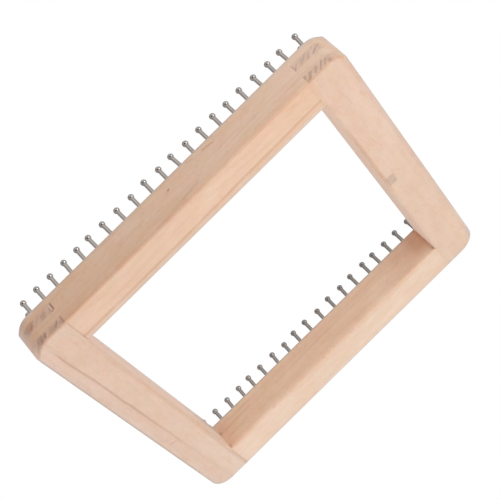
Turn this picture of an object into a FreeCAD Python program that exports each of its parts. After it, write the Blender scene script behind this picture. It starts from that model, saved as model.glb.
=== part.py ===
import FreeCAD, Part
import math
import os
import Sketcher

# Square knitting frame: four wooden rails, finger-jointed at the corners, with
# a row of round-headed steel pins standing in the middle of the upper face of
# every rail.
#
# Frame of the part: origin at the centre of the footprint on the underside,
# +Z up towards the pins, X along the front and back rails, Y along the left
# and right rails. Millimetres.

os.makedirs("parts", exist_ok=True)
doc = FreeCAD.newDocument("knitting_frame")
V = FreeCAD.Vector

# ---------------------------------------------------------------- dimensions
SIZES = [
    ("frame_side", 220, "outside length of each side of the square"),
    ("frame_height", 22, "thickness of the rails"),
    ("rail_width", 24, "width of each rail, outer face to window"),
    ("finger_height", 5.5, "each joint has four layers of this height"),
    ("front_cut_x", 6.1, "front corners: length cut off along the front face"),
    ("front_cut_y", 6.6, "front corners: length cut off along the side"),
    ("front_round", 10.5, "rounding where that cut meets the front face"),
    ("side_round", 2.2, "rounding where it meets the side"),
    ("back_left_radius", 10.5, "back corner on the left"),
    ("back_right_radius", 12, "back corner on the right"),
    ("upper_round", 1.5, "rounding of the edges on the side of the pins"),
    ("lower_round", 1.7, "rounding of the edges of the underside"),
    ("nick_start", 75.6, "chip in one window corner: centre of the frame to its near end"),
    ("nick_deepest", 77.8, "centre of the frame to its deepest place"),
    ("nick_depth", 0.9, "how deep it goes into the rail"),
    ("pin_pitch", 9.9, "spacing of the pins along a rail"),
    ("pin_end_margin", 11, "outside corner to the first pin"),
    ("pin_row_inset", 10.2, "outer face to the line of pins"),
    ("shaft_radius", 1.14, "pin shaft"),
    ("head_radius", 1.8, "head of a pin, a slightly flattened ball"),
    ("head_side_radius", 1.55, "curve of the head's flank"),
    ("head_crown_radius", 2.1, "flatter curve of its outer end"),
    ("head_height", 15.8, "rail face to the middle of the head"),
    ("pin_sunk", 12.8, "length of a pin inside the wood"),
    ("point_length", 2.5, "cone at the tip of a pin"),
    ("neck_radius", 2.0, "hollow under the head"),
    # derived
    ("joint_gap", "=frame_side - 2 * rail_width", "length of rail between the corner blocks"),
    ("rail_offset", "=(frame_side - rail_width) / 2", "centre of the frame to the middle of a rail"),
]
sheet = doc.addObject("Spreadsheet::Sheet", "Sizes")
for n, (alias, value, note) in enumerate(SIZES, start=1):
    sheet.set("A%d" % n, alias)
    sheet.set("B%d" % n, str(value))
    sheet.set("C%d" % n, note)
    sheet.setAlias("B%d" % n, alias)
doc.recompute()


def size(alias):
    return float(getattr(sheet, alias))


def tidy(obj, name):
    obj.Label = name
    return obj


# ------------------------------------------------------------ sketch helpers
def new_sketch(body, name, role):
    sk = body.newObject("Sketcher::SketchObject", name)
    plane = [f for f in body.Origin.OriginFeatures if f.Role == role][0]
    sk.AttachmentSupport = [(plane, "")]
    sk.MapMode = "FlatFace"
    return sk


def rectangle(sk, x0, y0, x1, y1, bound):
    """Closed rectangle. `bound` names how each side is held: pairs of
    (side, expression), where side is one of left, bottom, right, top and the
    expression gives its distance from the sketch's axis."""
    p = [V(x0, y0, 0), V(x1, y0, 0), V(x1, y1, 0), V(x0, y1, 0)]
    g = [sk.addGeometry(Part.LineSegment(p[k], p[(k + 1) % 4]), False) for k in range(4)]
    for k in range(4):
        sk.addConstraint(Sketcher.Constraint("Coincident", g[k], 2, g[(k + 1) % 4], 1))
    sk.addConstraint(Sketcher.Constraint("Horizontal", g[0]))
    sk.addConstraint(Sketcher.Constraint("Vertical", g[1]))
    sk.addConstraint(Sketcher.Constraint("Horizontal", g[2]))
    sk.addConstraint(Sketcher.Constraint("Vertical", g[3]))
    at = {"left": ("DistanceX", g[0], 1, x0), "bottom": ("DistanceY", g[0], 1, y0),
          "right": ("DistanceX", g[2], 1, x1), "top": ("DistanceY", g[2], 1, y1)}
    for side, expr in bound:
        kind, geo, pos, value = at[side]
        if abs(value) < 1e-9:
            # on the sketch's own axis
            other = -1 if kind == "DistanceY" else -2
            sk.addConstraint(Sketcher.Constraint("PointOnObject", geo, pos, other))
            continue
        if value > 0:
            i = sk.addConstraint(Sketcher.Constraint(kind, -1, 1, geo, pos, value))
        else:
            i = sk.addConstraint(Sketcher.Constraint(kind, geo, pos, -1, 1, -value))
        sk.setExpression("Constraints[%d]" % i, expr)
    return g


def pad(body, name, sk, length):
    f = body.newObject("PartDesign::Pad", name)
    f.Profile = sk
    f.setExpression("Length", length)
    sk.Visibility = False
    doc.recompute()
    return f


def pocket_through(body, name, sk):
    before = body.Shape.Volume
    f = body.newObject("PartDesign::Pocket", name)
    f.Profile = sk
    f.Type = "ThroughAll"
    f.Midplane = True
    sk.Visibility = False
    doc.recompute()
    after = body.Shape.Volume
    if not after < before - 1.0:
        raise RuntimeError("%s cut nothing" % name)
    return f


def fillet(body, name, test, radius, expect=None):
    base = body.Tip
    names = ["Edge%d" % (k + 1) for k, e in enumerate(base.Shape.Edges) if test(e)]
    if expect is not None and len(names) != expect:
        raise RuntimeError("%s found %d edges" % (name, len(names)))
    f = body.newObject("PartDesign::Fillet", name)
    f.Base = (base, names)
    f.setExpression("Radius", radius)
    doc.recompute()
    return f


def upright_at(*places):
    def test(e):
        b = e.BoundBox
        return (b.XLength < 1e-6 and b.YLength < 1e-6 and b.ZLength > 1.0
                and any(abs(b.XMin - x) < 1e-6 and abs(b.YMin - y) < 1e-6 for x, y in places))
    return test


def flat_at(z):
    def test(e):
        b = e.BoundBox
        return b.ZLength < 1e-6 and abs(b.ZMin - z) < 1e-6
    return test


HEIGHT = size("frame_height")
HALF = size("frame_side") / 2.0
WIDTH = size("rail_width")
INNER = HALF - WIDTH
LAYER = size("finger_height")

# ------------------------------------------------- outside shape of the frame
# The four rails are glued up first and then shaped as one: the outer corners
# are rounded and the long edges are eased, those of the underside more than
# those beside the pins. The two front corners were cut off and then blended,
# softly into the front face and only a little into the sides. In the window the
# rounding runs on into the corners, where it meets in a mitre.
envelope = doc.addObject("PartDesign::Body", "frame_envelope")
tidy(envelope, "frame_envelope")

sk = new_sketch(envelope, "outline", "XY_Plane")
cut_x, cut_y = size("front_cut_x"), size("front_cut_y")
corners = [V(-HALF + cut_x, -HALF, 0), V(HALF - cut_x, -HALF, 0), V(HALF, -HALF + cut_y, 0),
           V(HALF, HALF, 0), V(-HALF, HALF, 0), V(-HALF, -HALF + cut_y, 0)]
g = [sk.addGeometry(Part.LineSegment(corners[k], corners[(k + 1) % 6]), False) for k in range(6)]
C = Sketcher.Constraint
for k in range(6):
    sk.addConstraint(C("Coincident", g[k], 2, g[(k + 1) % 6], 1))
for k, kind in ((0, "Horizontal"), (2, "Vertical"), (3, "Horizontal"), (4, "Vertical")):
    sk.addConstraint(C(kind, g[k]))
side, side_x, side_y = "Sizes.frame_side / 2", "Sizes.frame_side / 2 - Sizes.front_cut_x", "Sizes.frame_side / 2 - Sizes.front_cut_y"
for geo, pos, axis, value, expr in (
        (g[0], 1, "X", -HALF + cut_x, side_x), (g[0], 2, "X", HALF - cut_x, side_x), (g[0], 1, "Y", -HALF, side),
        (g[2], 1, "X", HALF, side), (g[2], 1, "Y", -HALF + cut_y, side_y), (g[3], 1, "Y", HALF, side),
        (g[4], 2, "X", -HALF, side), (g[4], 2, "Y", -HALF + cut_y, side_y)):
    if value < 0:
        i = sk.addConstraint(C("Distance" + axis, geo, pos, -1, 1, -value))
    else:
        i = sk.addConstraint(C("Distance" + axis, -1, 1, geo, pos, value))
    sk.setExpression("Constraints[%d]" % i, expr)
pad(envelope, "slab", sk, "Sizes.frame_height")
fillet(envelope, "front_corners_to_face", upright_at((-HALF + cut_x, -HALF), (HALF - cut_x, -HALF)), "Sizes.front_round", 2)
fillet(envelope, "front_corners_to_side", upright_at((-HALF, -HALF + cut_y), (HALF, -HALF + cut_y)), "Sizes.side_round", 2)
fillet(envelope, "back_left_corner", upright_at((-HALF, HALF)), "Sizes.back_left_radius", 1)
fillet(envelope, "back_right_corner", upright_at((HALF, HALF)), "Sizes.back_right_radius", 1)

sk = new_sketch(envelope, "window_outline", "XY_Plane")
rectangle(sk, -INNER, -INNER, INNER, INNER,
          [(s, "Sizes.joint_gap / 2") for s in ("left", "bottom", "right", "top")])
pocket_through(envelope, "window", sk)
fillet(envelope, "upper_edges", flat_at(HEIGHT), "Sizes.upper_round", 16)
fillet(envelope, "lower_edges", flat_at(0.0), "Sizes.lower_round", 16)

# a chip out of the top layer of the left rail, next to the back rail
sk = new_sketch(envelope, "nick_outline", "XY_Plane")
sk.AttachmentOffset = FreeCAD.Placement(V(0, 0, HEIGHT), FreeCAD.Rotation())
sk.setExpression("AttachmentOffset.Base.z", "Sizes.frame_height")
start, deepest, depth = size("nick_start"), size("nick_deepest"), size("nick_depth")
corners = [V(-INNER, start, 0), V(-INNER - depth, deepest, 0), V(-INNER, INNER, 0)]
g = [sk.addGeometry(Part.LineSegment(corners[k], corners[(k + 1) % 3]), False) for k in range(3)]
C = Sketcher.Constraint
for k in range(3):
    sk.addConstraint(C("Coincident", g[k], 2, g[(k + 1) % 3], 1))
for geo, axis, value, expr in (
        (g[0], "X", -INNER, "Sizes.joint_gap / 2"), (g[0], "Y", start, "Sizes.nick_start"),
        (g[1], "X", -INNER - depth, "Sizes.joint_gap / 2 + Sizes.nick_depth"),
        (g[1], "Y", deepest, "Sizes.nick_deepest"),
        (g[2], "X", -INNER, "Sizes.joint_gap / 2"), (g[2], "Y", INNER, "Sizes.joint_gap / 2")):
    if value < 0:
        i = sk.addConstraint(C("Distance" + axis, geo, 1, -1, 1, -value))
    else:
        i = sk.addConstraint(C("Distance" + axis, -1, 1, geo, 1, value))
    sk.setExpression("Constraints[%d]" % i, expr)
before = envelope.Shape.Volume
nick = envelope.newObject("PartDesign::Pocket", "nick")
nick.Profile = sk
nick.setExpression("Length", "Sizes.finger_height")
sk.Visibility = False
doc.recompute()
if not 5.0 < before - envelope.Shape.Volume < 40.0:
    raise RuntimeError("the nick has the wrong size: %.2f" % (before - envelope.Shape.Volume))


# -------------------------------------------------------------- rail blanks
def rail_blank(name, along_x, slot_layers, place):
    """Straight batten, as long as the frame, with two slots cut across each
    end. `slot_layers` are the two layers (0 = lowest) left to the other rail."""
    body = doc.addObject("PartDesign::Body", name)
    tidy(body, name)
    half_w = WIDTH / 2.0
    sk = new_sketch(body, name + "_section", "XY_Plane")
    if along_x:
        rectangle(sk, -HALF, -half_w, HALF, half_w,
                  [("left", "Sizes.frame_side / 2"), ("right", "Sizes.frame_side / 2"),
                   ("bottom", "Sizes.rail_width / 2"), ("top", "Sizes.rail_width / 2")])
    else:
        rectangle(sk, -half_w, -HALF, half_w, HALF,
                  [("left", "Sizes.rail_width / 2"), ("right", "Sizes.rail_width / 2"),
                   ("bottom", "Sizes.frame_side / 2"), ("top", "Sizes.frame_side / 2")])
    pad(body, name + "_batten", sk, "Sizes.frame_height")
    # the slots are sawn across the batten, seen from its face
    sk = new_sketch(body, name + "_slots", "XZ_Plane" if along_x else "YZ_Plane")
    for side in (-1, 1):
        for layer in slot_layers:
            x0, x1 = sorted((side * INNER, side * HALF))
            z0, z1 = layer * LAYER, (layer + 1) * LAYER
            inner_side, outer_side = ("right", "left") if side < 0 else ("left", "right")
            rectangle(sk, x0, z0, x1, z1, [
                (inner_side, "Sizes.joint_gap / 2"),
                (outer_side, "Sizes.frame_side / 2"),
                ("bottom", "Sizes.finger_height * %d" % layer),
                ("top", "Sizes.finger_height * %d" % (layer + 1)),
            ])
    before = body.Shape.Volume
    pocket_through(body, name + "_fingers", sk)
    want = 4 * WIDTH * WIDTH * LAYER
    if abs(before - body.Shape.Volume - want) > 0.5:
        raise RuntimeError("%s: slots have the wrong volume" % name)
    for axis, expr in place:
        body.setExpression("Placement.Base.%s" % axis, expr)
    doc.recompute()
    return body


blanks = {
    "front_rail": rail_blank("front_blank", True, (0, 2), [("y", "-Sizes.rail_offset")]),
    "back_rail": rail_blank("back_blank", True, (0, 2), [("y", "Sizes.rail_offset")]),
    "left_rail": rail_blank("left_blank", False, (1, 3), [("x", "-Sizes.rail_offset")]),
    "right_rail": rail_blank("right_blank", False, (1, 3), [("x", "Sizes.rail_offset")]),
}

# ---------------------------------------------------------------- one pin
# A turned steel pin: cone point, straight shaft, a hollow neck and a head like
# a ball that is a little flattened at its outer end.
# Its own origin is where the shaft leaves the wood.
pin = doc.addObject("PartDesign::Body", "pin_master")
tidy(pin, "pin_master")
r_s, r_h = size("shaft_radius"), size("head_radius")
z_h, sunk = size("head_height"), size("pin_sunk")
point, r_n = size("point_length"), size("neck_radius")
r_side, r_crown = size("head_side_radius"), size("head_crown_radius")
side_x = r_h - r_side
# the hollow of the neck is tangent to the shaft and to the flank of the head
neck_x = r_s + r_n
neck_z = z_h - math.sqrt((r_side + r_n) ** 2 - (neck_x - side_x) ** 2)
share = r_side / (r_side + r_n)
touch = V(side_x + (neck_x - side_x) * share, z_h + (neck_z - z_h) * share, 0)
a_neck0 = math.atan2(touch.y - neck_z, touch.x - neck_x)
a_head0 = math.atan2(touch.y - z_h, touch.x - side_x)
# the crown is tangent to the flank and square to the axis at the top
crown_z = z_h - math.sqrt((r_crown - r_side) ** 2 - side_x ** 2)
a_crown = math.atan2(z_h - crown_z, side_x)

sk = new_sketch(pin, "pin_profile", "XZ_Plane")
tip = V(0, -sunk, 0)
shoulder = V(r_s, -sunk + point, 0)
neck = V(r_s, neck_z, 0)
top = V(0, crown_z + r_crown, 0)
up = V(0, 0, 1)
g_axis = sk.addGeometry(Part.LineSegment(top, tip), False)
g_cone = sk.addGeometry(Part.LineSegment(tip, shoulder), False)
g_shaft = sk.addGeometry(Part.LineSegment(shoulder, neck), False)
g_neck = sk.addGeometry(Part.ArcOfCircle(Part.Circle(V(neck_x, neck_z, 0), up, r_n),
                                         a_neck0, math.pi), False)
g_side = sk.addGeometry(Part.ArcOfCircle(Part.Circle(V(side_x, z_h, 0), up, r_side),
                                         a_head0, a_crown), False)
g_head = sk.addGeometry(Part.ArcOfCircle(Part.Circle(V(0, crown_z, 0), up, r_crown),
                                         a_crown, math.pi / 2), False)
C = Sketcher.Constraint
sk.addConstraint(C("Coincident", g_axis, 2, g_cone, 1))
sk.addConstraint(C("Coincident", g_cone, 2, g_shaft, 1))
sk.addConstraint(C("Tangent", g_shaft, 2, g_neck, 2))
sk.addConstraint(C("Tangent", g_neck, 1, g_side, 1))
sk.addConstraint(C("Tangent", g_side, 2, g_head, 1))
sk.addConstraint(C("Coincident", g_head, 2, g_axis, 1))
sk.addConstraint(C("Vertical", g_shaft))
sk.addConstraint(C("PointOnObject", g_axis, 1, -2))
sk.addConstraint(C("PointOnObject", g_axis, 2, -2))
sk.addConstraint(C("PointOnObject", g_head, 3, -2))


def dim(constraint, expr):
    i = sk.addConstraint(constraint)
    sk.setExpression("Constraints[%d]" % i, expr)


dim(C("DistanceY", g_cone, 1, -1, 1, sunk), "Sizes.pin_sunk")
dim(C("DistanceY", g_cone, 1, g_cone, 2, point), "Sizes.point_length")
dim(C("DistanceX", -1, 1, g_cone, 2, r_s), "Sizes.shaft_radius")
dim(C("DistanceY", -1, 1, g_side, 3, z_h), "Sizes.head_height")
dim(C("DistanceX", -1, 1, g_side, 3, side_x), "Sizes.head_radius - Sizes.head_side_radius")
dim(C("Radius", g_side, r_side), "Sizes.head_side_radius")
dim(C("Radius", g_head, r_crown), "Sizes.head_crown_radius")
dim(C("Radius", g_neck, r_n), "Sizes.neck_radius")
turned = pin.newObject("PartDesign::Revolution", "pin_turned")
turned.Profile = sk
turned.ReferenceAxis = (sk, ["V_Axis"])
turned.Angle = 360
sk.Visibility = False
doc.recompute()
bb = pin.Shape.optimalBoundingBox(False)
if abs(bb.ZMax - (crown_z + r_crown)) > 1e-3 or abs(bb.ZMin + sunk) > 1e-3 or abs(bb.XMax - r_h) > 1e-3:
    raise RuntimeError("pin profile moved: %s" % bb)

# ------------------------------------------------------------- rows of pins
# The pins were driven by hand, so each one is a little off its mark. For each
# pin: offset along its row, offset across the row (both in the direction of
# +X or +Y), how far it stands proud of the common height, and its lean in
# degrees along and across the row. The front and back rows hold the corner
# pins; the left and right rows hold the pins between them.
SET = {
    "front": [
        ( 1.35,  0.00, -0.18, -1.5,  0.1), ( 1.56,  0.00,  0.21, -1.9, -0.3),
        ( 1.09,  0.00,  0.06, -0.5, -0.1), ( 1.16,  0.00,  0.17, -0.1, -0.2),
        ( 0.95,  0.00,  0.23, -0.5, -0.2), ( 0.24,  0.00,  0.53, -2.7, -0.5),
        ( 0.72,  0.00,  0.38, -3.2, -0.4), ( 1.00,  0.00,  0.24, -2.0, -0.2),
        ( 1.09,  0.00, -0.07, -1.1,  0.1), ( 1.06,  0.00,  0.80, -0.2, -0.7),
        ( 1.33,  0.00,  0.21, -0.1, -0.2), ( 1.70,  0.00,  0.63, -3.6, -0.5),
        ( 0.97,  0.00, -0.05,  0.3,  0.0), ( 1.29,  0.00,  0.35, -0.3, -0.3),
        ( 1.12,  0.00,  0.31,  1.1, -0.3), ( 0.91,  0.00, -0.22, -0.1,  0.2),
        ( 0.57,  0.00,  0.21,  1.3, -0.2), ( 1.28,  0.00, -0.30, -0.9,  0.3),
        ( 0.78,  0.00, -0.58,  1.8,  0.5), ( 0.18,  0.00, -0.45,  0.1,  0.4),
        ( 0.65,  0.00, -0.32,  4.5,  0.2),
    ],
    "right": [
        ( 0.00, -0.40, -0.10, -0.3,  0.3), (-0.64, -0.20,  0.05,  2.6, -0.7),
        (-0.65,  0.05,  0.15, -0.2, -0.2), (-0.20,  0.11, -0.31, -0.1,  0.0),
        (-0.62,  0.06, -0.26,  1.2,  0.2), (-0.22, -0.13, -0.04, -2.4, -1.0),
        (-0.07, -0.40,  0.25, -2.1,  0.7), (-0.34,  0.17,  0.04, -1.8,  1.1),
        ( 0.38, -0.01, -0.08, -0.2, -0.9), ( 0.36, -0.12, -0.02, -1.0, -0.6),
        (-0.23,  0.28, -0.05,  1.2,  0.0), ( 0.01, -0.07, -0.17,  0.0, -0.3),
        ( 0.19, -0.30, -0.24,  2.0, -0.6), ( 0.05,  0.07,  0.42, -1.7, -0.2),
        ( 0.25, -0.39,  0.22,  0.0,  0.1), ( 0.29,  0.10, -0.16, -0.2, -1.0),
        ( 0.23,  0.29, -0.15,  0.4,  0.0), ( 0.53, -0.11,  0.19, -0.4, -0.1),
        ( 0.73,  0.26,  0.20,  0.5, -0.5),
    ],
    "back": [
        (-1.25,  0.10,  0.10,  0.6, -0.4), (-1.05, -0.20, -0.20, -0.9,  0.5),
        (-0.81,  0.00, -0.51, -1.3,  0.3), (-1.17,  0.00, -0.66,  1.6,  0.5),
        (-0.88,  0.00, -0.50,  1.3,  0.4), (-1.64,  0.00, -0.11,  0.4,  0.1),
        (-1.34,  0.00, -0.45, -0.7,  0.3), (-1.43,  0.00, -0.30,  2.9,  0.3),
        (-1.10,  0.00, -1.08,  1.4,  0.8), (-1.55,  0.00,  0.13,  0.5, -0.1),
        (-1.46,  0.00,  0.09, -0.8, -0.1), (-1.39,  0.00, -0.58,  1.2,  0.4),
        (-1.11,  0.00,  0.36,  0.6, -0.2), (-1.02,  0.00, -0.01,  2.0,  0.0),
        (-1.01,  0.00,  0.53, -0.2, -0.4), (-0.50,  0.00,  0.61,  0.7, -0.4),
        (-1.44,  0.00,  0.50, -0.4, -0.3), (-1.58,  0.00,  0.22,  0.4, -0.2),
        (-1.67,  0.00,  0.51,  0.1, -0.4), (-0.70,  0.00,  0.30, -1.6, -0.2),
        (-1.30, -0.10,  0.15,  0.8,  0.3),
    ],
    "left": [
        (-0.80, -1.70,  0.10,  0.4,  0.2), (-0.83, -0.89,  0.40, -0.6, -0.6),
        (-0.34, -0.82,  0.03, -1.1,  0.0), (-0.21, -1.20, -0.14, -2.3, -1.2),
        (-0.82, -0.95, -0.38,  0.3,  0.1), (-0.30, -1.30, -0.16, -0.1,  0.1),
        (-0.60, -1.01, -0.29, -1.0,  1.0), (-0.33, -0.91,  0.27, -0.7, -0.1),
        ( 0.01, -0.89, -0.37,  0.1,  1.2), (-0.38, -0.71,  0.04, -0.8,  1.8),
        ( 0.34, -1.16,  0.02,  0.7, -0.2), ( 0.39, -0.91,  0.20,  1.7, -0.6),
        ( 0.33, -1.00,  0.04, -1.4, -0.5), ( 0.30, -0.70,  0.34, -1.6, -0.7),
        ( 0.61, -1.30, -0.14, -0.1,  1.1), ( 0.69, -0.97, -0.11, -0.3,  1.4),
        ( 0.46, -0.97,  0.11, -0.1, -0.2), ( 0.34, -0.90, -0.13,  1.4,  0.6),
        ( 0.72, -0.75, -0.10,  1.3,  0.0),
    ],
}


def place_pin(name, row, index, offsets):
    """One pin of a row; `index` counts from the left or front corner pin."""
    along, across, proud, lean_along, lean_across = offsets
    link = doc.addObject("App::Link", name)
    link.LinkedObject = pin
    link.Label = name
    ta, tc = math.tan(math.radians(lean_along)), math.tan(math.radians(lean_across))
    on_x = row in ("front", "back")
    lean = V(ta, tc, 1) if on_x else V(tc, ta, 1)
    link.Placement = FreeCAD.Placement(V(0, 0, 0), FreeCAD.Rotation(V(0, 0, 1), lean))
    run = "Sizes.pin_end_margin + %d * Sizes.pin_pitch - Sizes.frame_side / 2 + %.2f" % (index, along)
    sign = "-" if row in ("front", "left") else ""
    line = "%s(Sizes.frame_side / 2 - Sizes.pin_row_inset) + %.2f" % (sign, across)
    x, y = (run, line) if on_x else (line, run)
    link.setExpression("Placement.Base.x", x)
    link.setExpression("Placement.Base.y", y)
    link.setExpression("Placement.Base.z", "Sizes.frame_height + %.2f" % proud)
    return link


links = {}
for row, first in (("front", 0), ("right", 1), ("back", 0), ("left", 1)):
    links[row] = [place_pin("%s_pin_%02d" % (row, k), row, k + first, off)
                  for k, off in enumerate(SET[row])]
doc.recompute()

# Round the frame, seen from above, twenty pins belong to each side: its own
# row with the corner pin that the row starts from.
ring = {
    "front": links["front"][:20],
    "right": [links["front"][20]] + links["right"],
    "back": links["back"][:0:-1],
    "left": [links["back"][0]] + links["left"][::-1],
}
nodes = []
for side in ("front", "right", "back", "left"):
    row = ring[side]
    for k in range(0, 20, 2):
        name = "pins_%s_%02d_%02d" % (side, k + 1, k + 2)
        pair = doc.addObject("Part::Compound", name)
        pair.Links = row[k:k + 2]
        nodes.append(tidy(pair, name))

# -------------------------------------------------------------------- rails
# A rail is its blank inside the shaped outline, less the pins driven into it.
# Near the corners a pin goes through the fingers of both rails.
reach = {
    "front_rail": (-HALF, -HALF, HALF, -INNER),
    "back_rail": (-HALF, INNER, HALF, HALF),
    "left_rail": (-HALF, -HALF, -INNER, HALF),
    "right_rail": (INNER, -HALF, HALF, HALF),
}
every_pin = [l for row in ("front", "right", "back", "left") for l in links[row]]
rails = []
for name, blank in blanks.items():
    x0, y0, x1, y1 = reach[name]
    driven = [l for l in every_pin
              if x0 - 2 < l.Placement.Base.x < x1 + 2 and y0 - 2 < l.Placement.Base.y < y1 + 2]
    tools = doc.addObject("Part::Compound", name + "_pins_driven")
    tools.Links = driven
    shaped = doc.addObject("Part::Common", name + "_shaped")
    shaped.Base = blank
    shaped.Tool = envelope
    rail = doc.addObject("Part::Cut", name)
    rail.Base = shaped
    rail.Tool = tools
    rails.append(tidy(rail, name))
    print(name, "is entered by", len(driven), "pins")
doc.recompute()
nodes = rails + nodes

# -------------------------------------------------------------------- checks
bad = [o.Name for o in doc.Objects if any(s in o.State for s in ("Invalid", "Error"))]
if bad:
    raise RuntimeError("failed objects: %s" % bad)
want_solids = {o.Label: (1 if o in rails else 2) for o in nodes}
for o in nodes:
    s = o.Shape
    if s.isNull() or not s.isValid():
        raise RuntimeError("%s has no valid shape" % o.Label)
    if len(s.Solids) != want_solids[o.Label]:
        raise RuntimeError("%s has %d solids" % (o.Label, len(s.Solids)))
    if s.Volume < 1.0:
        raise RuntimeError("%s is empty" % o.Label)
if len(nodes) != 44 or len({o.Label for o in nodes}) != 44:
    raise RuntimeError("wrong number of nodes")
whole = FreeCAD.BoundBox()
for o in nodes:
    whole.add(o.Shape.BoundBox)
print("size %.2f x %.2f x %.2f mm, lowest %.3f" % (whole.XLength, whole.YLength, whole.ZLength, whole.ZMin))
print("wood %.1f cm3, steel %.2f cm3" % (sum(o.Shape.Volume for o in rails) / 1000.0,
                                       sum(o.Shape.Volume for o in nodes[4:]) / 1000.0))

# -------------------------------------------------------------------- export
for o in nodes:
    o.Shape.exportStep("parts/%s.step" % o.Label)
print("wrote", len(nodes), "parts")
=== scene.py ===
import math

import bpy
from mathutils import Matrix, Vector

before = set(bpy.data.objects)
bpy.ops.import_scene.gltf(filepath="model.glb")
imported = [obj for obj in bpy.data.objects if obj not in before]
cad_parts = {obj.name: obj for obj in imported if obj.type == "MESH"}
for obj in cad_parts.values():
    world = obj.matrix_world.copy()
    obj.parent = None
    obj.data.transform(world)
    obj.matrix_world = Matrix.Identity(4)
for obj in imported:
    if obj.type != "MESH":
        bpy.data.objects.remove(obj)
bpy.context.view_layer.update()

scene = bpy.context.scene

# ------------------------------------------------------------------ geometry
# Sizes that the looks share with the model, in millimetres.
HALF, RAIL, HEIGHT, LAYER = 110.0, 24.0, 22.0, 5.5
INNER = HALF - RAIL


# ------------------------------------------------------------- node helpers
class Tree:
    """Small helper that writes a material's nodes from left to right."""

    def __init__(self, name):
        self.mat = bpy.data.materials.new(name)
        self.mat.use_nodes = True
        self.tree = self.mat.node_tree
        self.tree.nodes.clear()
        self.count = 0

    def new(self, kind, **props):
        node = self.tree.nodes.new(kind)
        node.location = (self.count % 40 * 190, -(self.count // 40) * 420)
        self.count += 1
        for key, value in props.items():
            setattr(node, key, value)
        return node

    def put(self, socket, value):
        if isinstance(value, bpy.types.NodeSocket):
            self.tree.links.new(value, socket)
        elif value is not None:
            socket.default_value = value

    def math(self, op, a, b=None, c=None, clamp=False):
        node = self.new("ShaderNodeMath", operation=op, use_clamp=clamp)
        for k, v in enumerate((a, b, c)):
            self.put(node.inputs[k], v)
        return node.outputs[0]

    def add(self, a, b): return self.math("ADD", a, b)
    def sub(self, a, b): return self.math("SUBTRACT", a, b)
    def mul(self, a, b): return self.math("MULTIPLY", a, b)
    def div(self, a, b): return self.math("DIVIDE", a, b)
    def mad(self, a, b, c): return self.math("MULTIPLY_ADD", a, b, c)
    def mn(self, a, b): return self.math("MINIMUM", a, b)
    def mx(self, a, b): return self.math("MAXIMUM", a, b)
    def ab(self, a): return self.math("ABSOLUTE", a)

    def xyz(self, x, y, z):
        node = self.new("ShaderNodeCombineXYZ")
        for k, v in enumerate((x, y, z)):
            self.put(node.inputs[k], v)
        return node.outputs[0]

    def split(self, v):
        node = self.new("ShaderNodeSeparateXYZ")
        self.put(node.inputs[0], v)
        return node.outputs[0], node.outputs[1], node.outputs[2]

    def ramp(self, x, lo, hi, out_lo=0.0, out_hi=1.0, kind="SMOOTHSTEP"):
        node = self.new("ShaderNodeMapRange", interpolation_type=kind, clamp=True)
        self.put(node.inputs["Value"], x)
        self.put(node.inputs["From Min"], lo)
        self.put(node.inputs["From Max"], hi)
        self.put(node.inputs["To Min"], out_lo)
        self.put(node.inputs["To Max"], out_hi)
        return node.outputs["Result"]

    def noise(self, vector, scale=1.0, detail=2.0, rough=0.5, distort=0.0, out="Factor"):
        node = self.new("ShaderNodeTexNoise", noise_dimensions="3D")
        self.put(node.inputs["Vector"], vector)
        self.put(node.inputs["Scale"], scale)
        self.put(node.inputs["Detail"], detail)
        self.put(node.inputs["Roughness"], rough)
        self.put(node.inputs["Distortion"], distort)
        return node.outputs["Factor" if "Factor" in node.outputs else "Fac"] if out == "Factor" else node.outputs["Color"]

    def mix(self, fac, a, b, blend="MIX"):
        node = self.new("ShaderNodeMix", data_type="RGBA", blend_type=blend)
        self.put(node.inputs[0], fac)
        self.put(node.inputs[6], a)
        self.put(node.inputs[7], b)
        return node.outputs[2]

    def tint(self, colour, fac, rgb):
        """Multiply a colour by rgb where fac is 1."""
        return self.mix(fac, colour, (rgb[0], rgb[1], rgb[2], 1.0), "MULTIPLY")

    def between(self, fac, a, b):
        return self.mix(fac, tuple(a) + (1.0,), tuple(b) + (1.0,))

    def band(self, v, centre, half, soft):
        """1 within `half` of a line, fading out over `soft`."""
        return self.ramp(self.ab(self.sub(v, centre)), half, half + soft, 1.0, 0.0)

    def inside(self, v, lo, hi, soft):
        return self.mul(self.ramp(v, lo - soft, lo + soft), self.ramp(v, hi - soft, hi + soft, 1.0, 0.0))

    def stroke(self, u, v, a, b, half, soft):
        """A short line from a to b in the plane u, v."""
        du, dv = b[0] - a[0], b[1] - a[1]
        length = math.hypot(du, dv)
        du, dv = du / length, dv / length
        pu, pv = self.sub(u, a[0]), self.sub(v, a[1])
        run = self.add(self.mul(pu, du), self.mul(pv, dv))
        off = self.ab(self.add(self.mul(pu, -dv), self.mul(pv, du)))
        return self.mul(self.ramp(off, half, half + soft, 1.0, 0.0),
                        self.mul(self.ramp(run, -soft, soft), self.ramp(run, length - soft, length + soft, 1.0, 0.0)))

    def blob(self, u, v, centre, ru, rv, turn=0.0):
        c, s = math.cos(math.radians(turn)), math.sin(math.radians(turn))
        pu, pv = self.sub(u, centre[0]), self.sub(v, centre[1])
        a = self.mul(self.add(self.mul(pu, c), self.mul(pv, s)), 1.0 / ru)
        b = self.mul(self.add(self.mul(pu, -s), self.mul(pv, c)), 1.0 / rv)
        return self.ramp(self.math("SQRT", self.add(self.mul(a, a), self.mul(b, b))), 0.35, 1.0, 1.0, 0.0)

    def most(self, facs):
        """The strongest of several masks; each may carry a weight."""
        total = None
        for fac in facs:
            if isinstance(fac, tuple):
                fac = self.mul(fac[0], fac[1])
            total = fac if total is None else self.mx(total, fac)
        return total

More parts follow.
